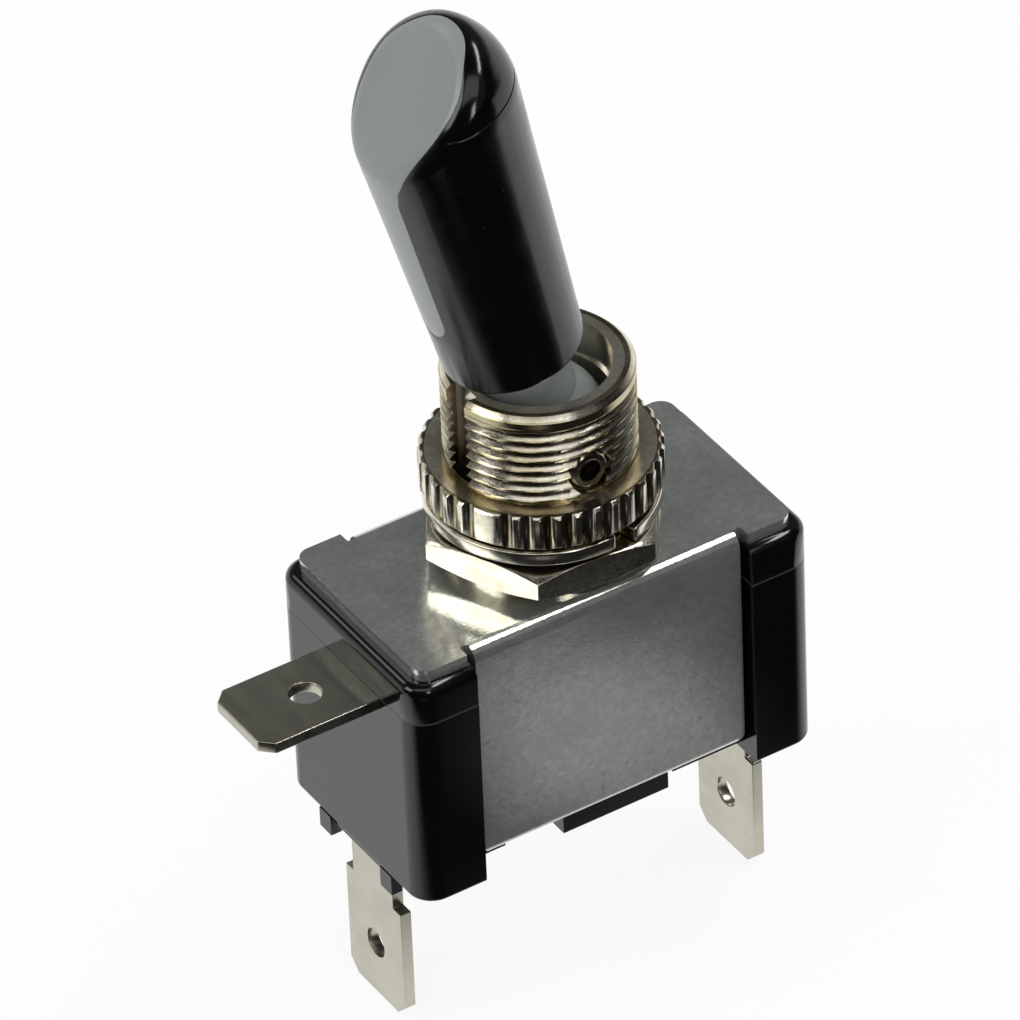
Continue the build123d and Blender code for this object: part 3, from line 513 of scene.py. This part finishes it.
innerParts = {
    "supply_contact": innerFinish("silverContact", innerMetal, (0.8, 0.79, 0.76), 0.25),
    "rocker_contact": innerFinish("copperStrip", innerMetal, (0.62, 0.34, 0.2), 0.3),
    "plunger": innerFinish("turnedBrass", innerMetal, (0.66, 0.5, 0.24), 0.25),
    "plunger_spring": innerFinish("springWire", innerMetal, (0.5, 0.5, 0.5), 0.25),
    "ground_lead": innerFinish("leadWire", innerMetal, (0.66, 0.66, 0.65), 0.3),
    "led": innerFinish("lampResin", innerPlastic, (0.6, 0.64, 0.66), 0.1),
    "led_resistor": innerFinish("resistorCoat", innerPlastic, (0.55, 0.42, 0.26), 0.4),
}
innerParts["rocker_button"] = innerParts["supply_contact"]
innerParts["spring_cap"] = innerParts["plunger"]
innerParts["feed_lead"] = innerParts["ground_lead"]
for name, material in innerParts.items():
    if not nodes[name].material_slots:
        nodes[name].data.materials.append(material)
    for place in nodes[name].material_slots:
        place.material = material
print("inner parts finished")


# the fine line that parts the dome from the sleeve, let in as a shallow V round the lever
def scribe(piece):
    pivot = Vector(parting["pivot"]) * mm
    axis = Vector(parting["axis"]).normalized()
    form = bmesh.new()
    form.from_mesh(piece.data)
    for offset in (-parting["half"], 0, parting["half"]):
        spot = pivot + axis * (parting["at"] + offset) * mm
        everything = form.verts[:] + form.edges[:] + form.faces[:]
        bmesh.ops.bisect_plane(form, geom=everything, plane_co=spot, plane_no=axis)
    for vert in form.verts:
        arm = vert.co - pivot
        along = arm.dot(axis)
        out = arm - axis * along
        onLine = abs(along - parting["at"] * mm) < parting["near"] * mm
        if onLine and out.length > parting["keep"] * mm:
            vert.co -= out.normalized() * parting["depth"] * mm
    form.to_mesh(piece.data)
    form.free()
    shade(piece, shading["limit"])


# outer parts: the CAD form with its edges broken, by a width in mm and a number of steps
outerParts = {
    "steelFrame": {"node": "mounting_frame", "slot": "zinc_steel", "edge": 0.14, "steps": 3},
    "hexNut": {"node": "hex_nut", "slot": "nickel_brass", "edge": 0.1, "steps": 2},
    "springWasher": {"node": "lock_washer", "slot": "nickel_brass", "edge": 0.14, "steps": 3},
    "groovedNut": {"node": "face_nut", "slot": "nickel_brass", "edge": 0.035, "steps": 2},
    "hollowPin": {"node": "pivot_pin", "slot": "nickel_brass", "edge": 0.05, "steps": 2},
    "bodyCover": {"node": "housing_cover", "slot": "black_body", "edge": 0.1, "steps": 2},
    "bodyBase": {"node": "housing_base", "slot": "black_body", "edge": 0.1, "steps": 2},
    "leftBlade": {"node": "supply_terminal", "slot": "tinned_brass", "edge": 0.11, "steps": 3},
    "rightBlade": {"node": "load_terminal", "slot": "tinned_brass", "edge": 0.11, "steps": 3},
    "sideBlade": {"node": "ground_terminal", "slot": "tinned_brass", "edge": 0.11, "steps": 3},
    "leverSleeve": {"node": "lever_sleeve", "slot": "black_lever", "edge": 0.05, "steps": 2},
    "leverLens": {"node": "lever_lens", "slot": "grey_lens", "edge": 0.07, "steps": 2},
    "leverCore": {"node": "lever_core", "slot": "milky_core", "edge": 0.05, "steps": 2},
}
for name, part in outerParts.items():
    piece = soften(copyNode(part["node"], name), part["edge"], part["steps"])
    if name == "leverSleeve":
        scribe(piece)
    stand(piece, part["node"], part["slot"])
    print(name, len(piece.data.polygons), "faces")


# lengths in mm; the valley and the crest are shares of half a pitch; the phase starts some whole
# turns up, so that it is never negative; smallest is the gap that closes the ring's seam
thread = {
    "pitch": 0.75,
    "depth": 0.43,
    "crest": 5.985,
    "outside": 6.6,
    "foot": 0.03,
    "top": 5.92,
    "fadeStart": 5.05,
    "fadeEnd": 5.6,
    "valleyEnd": 0.05,
    "crestStart": 0.93,
    "wholeTurns": 20.0,
    "smallest": 0.001,
    "around": 240,
    "rowsPerTurn": 16,
}


# the groove of the thread as one closed ring: a grid whose rows run up the bushing and whose
# columns run round it, taken away from the bushing's own form
def threadedBushing():
    piece = copyNode("bushing", "threadedBushing")
    turns = (thread["top"] - thread["foot"]) / thread["pitch"]
    inputs = {
        "Pitch": thread["pitch"] * mm,
        "Depth": thread["depth"] * mm,
        "Crest": thread["crest"] * mm,
        "Outside": thread["outside"] * mm,
        "Foot": thread["foot"] * mm,
        "Top": thread["top"] * mm,
        "Fade Start": thread["fadeStart"] * mm,
        "Fade End": thread["fadeEnd"] * mm,
        "Around": thread["around"],
        "Rows": int(turns * thread["rowsPerTurn"]),
        "Finish": finishes["nickel_brass"],
    }
    form = Former("threadGroove", inputs)
    given = form.given
    sizes = {"Size X": 1.0, "Size Y": 1.0, "Vertices X": given("Around") + 1, "Vertices Y": given("Rows") + 3}
    grid = form.take("GeometryNodeMeshGrid", {}, sizes)
    sideways, upward = form.split(form.take("GeometryNodeInputPosition"))[:2]
    turn = sideways + 0.5
    rise = upward + 0.5

    # the first row and the last two lie outside the bushing and close the ring
    row = rise * (given("Rows") + 2)
    share = form.fade(row, 1.0, given("Rows"))
    height = given("Foot") + share * (given("Top") - given("Foot")) * (row < given("Rows") + 1.5)
    outer = (row < 0.5) + (row > given("Rows") + 0.5)

    # the groove is deepest where the phase is nought, and runs out at the top
    phase = form.calc("PINGPONG", height / given("Pitch") - turn + thread["wholeTurns"], 0.5) * 2.0
    groove = form.fade(phase, thread["valleyEnd"], thread["crestStart"], 1.0, 0.0)
    runOut = form.fade(height, given("Fade Start"), given("Fade End"), 1.0, 0.0, "SMOOTHSTEP")
    cut = given("Crest") - given("Depth") * groove * runOut
    radius = cut + (given("Outside") - cut) * form.calc("MINIMUM", outer, 1.0)
    angle = turn * (2 * math.pi)
    forward = radius * form.calc("COSINE", angle)
    aside = radius * form.calc("SINE", angle)
    spot = form.take("ShaderNodeCombineXYZ", {}, {0: forward, 1: aside, 2: height})
    ring = form.take("GeometryNodeSetPosition", {}, {"Geometry": grid, "Position": spot})
    closing = {"Geometry": ring, "Distance": thread["smallest"] * mm}
    ring = form.take("GeometryNodeMergeByDistance", {}, closing)
    ring = form.take("GeometryNodeFlipFaces", {}, {"Mesh": ring})
    cutting = {"operation": "DIFFERENCE", "solver": "EXACT"}
    cutter = form.add("GeometryNodeMeshBoolean", cutting, {0: given("Mesh"), 1: ring})
    form.run(Sock(form, cutter.outputs[0]), piece)
    shade(piece, shading["threadLimit"])
    stand(piece, "bushing", "nickel_brass")
    print("threadedBushing", len(piece.data.polygons), "faces")


threadedBushing()


# eye, target, sensor and lens in mm, the roll in degrees, the shift in widths of the picture and
# the clip in metres
viewpoint = {
    "eye": (-266.087, -433.953, 394.387),
    "target": (0.203, 1.657, -5.148),
    "roll": -2.353,
    "sensor": 36,
    "lens": 374.44,
    "shift": (-0.0208, -0.01497),
    "clip": (0.01, 20),
}


def addCamera():
    data = bpy.data.cameras.new("photoCamera")
    camera = bpy.data.objects.new("photoCamera", data)
    bpy.context.collection.objects.link(camera)
    eye = Vector(viewpoint["eye"]) * mm
    look = Vector(viewpoint["target"]) * mm - eye
    roll = Quaternion((0, 0, 1), math.radians(viewpoint["roll"]))
    camera.location = eye
    camera.rotation_mode = "QUATERNION"
    camera.rotation_quaternion = look.to_track_quat("-Z", "Y") @ roll
    data.sensor_width = viewpoint["sensor"]
    data.lens = viewpoint["lens"]
    data.shift_x, data.shift_y = viewpoint["shift"]
    data.clip_start, data.clip_end = viewpoint["clip"]
    bpy.context.scene.camera = camera


# soft panels: the way to each from the switch, how far off and how large in metres, and its watts
lamps = {
    "keyPanel": {"toward": (-0.78, 0.12, 0.61), "away": 0.5, "size": (0.24, 0.2), "power": 0.55},
    "ridgePanel": {"toward": (0.41, -0.12, 0.9), "away": 0.5, "size": (0.30, 0.08), "power": 0.8},
    "capPanel": {"toward": (-0.26, -0.42, 0.87), "away": 0.5, "size": (0.5, 0.2), "power": 0.38},
    "rimPanel": {"toward": (-0.33, 0.67, 0.67), "away": 0.5, "size": (0.12, 0.12), "power": 0.1},
    "fillPanel": {"toward": (0.29, -0.73, 0.61), "away": 0.55, "size": (0.3, 0.3), "power": 0.03},
    "frontPanel": {"toward": (-0.12, -0.85, 0.5), "away": 0.6, "size": (0.10, 0.16), "power": 0.35},
}


def addLamps():
    for name, lamp in lamps.items():
        data = bpy.data.lights.new(name, "AREA")
        data.shape = "RECTANGLE"
        data.size, data.size_y = lamp["size"]
        data.energy = lamp["power"]
        piece = bpy.data.objects.new(name, data)
        toward = Vector(lamp["toward"]).normalized()
        piece.location = toward * lamp["away"]
        piece.rotation_euler = (-toward).to_track_quat("-Z", "Y").to_euler()
        bpy.context.collection.objects.link(piece)


# the floor in metres: the camera sees it nearly white, with the shadow; metal and gloss see it
# dark in front, white behind and to the right, with two pale sheets lying in front
paper = {
    "fixed": {"Base Color": (0.82, 0.82, 0.82), "Roughness": 0.9},
    "size": 3.0,
    "whiteShare": 0.9,
    "front": 0.015,
    "whiteFrom": (-0.024, -0.004),
    "slantFrom": 0.024,
    "slant": 0.7,
    "sheets": [
        {"at": (0.012, -0.029), "fade": (0.003, 0.013), "light": 0.27},
        {"at": (-0.037, -0.056), "fade": (0.004, 0.018), "light": 0.22},
    ],
}


def addFloor():
    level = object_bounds()[0].z
    half = paper["size"] / 2
    mesh = bpy.data.meshes.new("floor")
    corners = [(-half, -half, level), (half, -half, level), (half, half, level), (-half, half, level)]
    mesh.from_pydata(corners, [], [(0, 1, 2, 3)])
    floor = bpy.data.objects.new("floor", mesh)
    bpy.context.collection.objects.link(floor)
    look = Maker("floorPaper", paper["fixed"])
    seen, mirrored = look.seenBy()
    sideways, backward = look.split(look.place)[:2]
    rightward = look.calc("MAXIMUM", sideways - paper["slantFrom"], 0.0)
    across = backward + rightward * paper["slant"]
    light = look.fade(across, *paper["whiteFrom"], paper["front"], 1.0, "SMOOTHSTEP")
    for sheet in paper["sheets"]:
        spot = {0: look.place, 1: (*sheet["at"], level)}
        away = look.take("ShaderNodeVectorMath", {"operation": "DISTANCE"}, spot, "Value")
        light = light + look.fade(away, *sheet["fade"], sheet["light"], 0.0, "SMOOTHSTEP")
    strength = seen + (1.0 - seen) * light
    white = look.take("ShaderNodeEmission", {}, {"Color": (1.0, 1.0, 1.0), "Strength": strength})
    share = seen * paper["whiteShare"] + mirrored
    lit = Sock(look, look.shader.outputs[0])
    blend = look.take("ShaderNodeMixShader", {}, {0: share, 1: lit, 2: white})
    look.tree.links.new(blend.out, look.output.inputs["Surface"])
    mesh.materials.append(look.material)


# the air all round: heights are the upward part of a direction, brightness 1 is white
air = {
    "soft": 0.55,
    "front": 0.015,
    "backward": (0.3, 0.95, 0),
    "backFade": (-0.1, 0.35),
    "wallFade": (0.1, 0.42),
    "ceilingFade": (0.5, 0.95),
    "ceiling": 0.13,
    "zenith": 0.06,
}


# white to the camera, soft light all round, and in reflections a pale back wall under a dim ceiling
def addWorld():
    world = bpy.data.worlds.new("studioAir")
    bpy.context.scene.world = world
    world.use_nodes = True
    look = Tree(world.node_tree)
    seen, mirrored = look.seenBy()
    toward = look.take("ShaderNodeTexCoord", out="Generated")
    rise = look.dot(toward, (0, 0, 1))
    back = look.fade(look.dot(toward, air["backward"]), *air["backFade"], 0.0, 1.0, "SMOOTHSTEP")
    wall = look.fade(rise, *air["wallFade"], 1.0, 0.0, "SMOOTHSTEP")
    ceiling = look.fade(rise, *air["ceilingFade"], air["ceiling"], air["zenith"])
    mirror = air["front"] + back * (wall * (1.0 - air["ceiling"]) + ceiling)
    strength = seen + (1.0 - seen) * (mirrored * mirror + (1.0 - mirrored) * air["soft"])
    white = look.take("ShaderNodeBackground", {}, {"Color": (1.0, 1.0, 1.0), "Strength": strength})
    look.add("ShaderNodeOutputWorld", {}, {"Surface": white})


addCamera()
addLamps()
addFloor()
addWorld()
bpy.context.scene.view_settings.view_transform = "Standard"
print("camera, lamps and floor set")
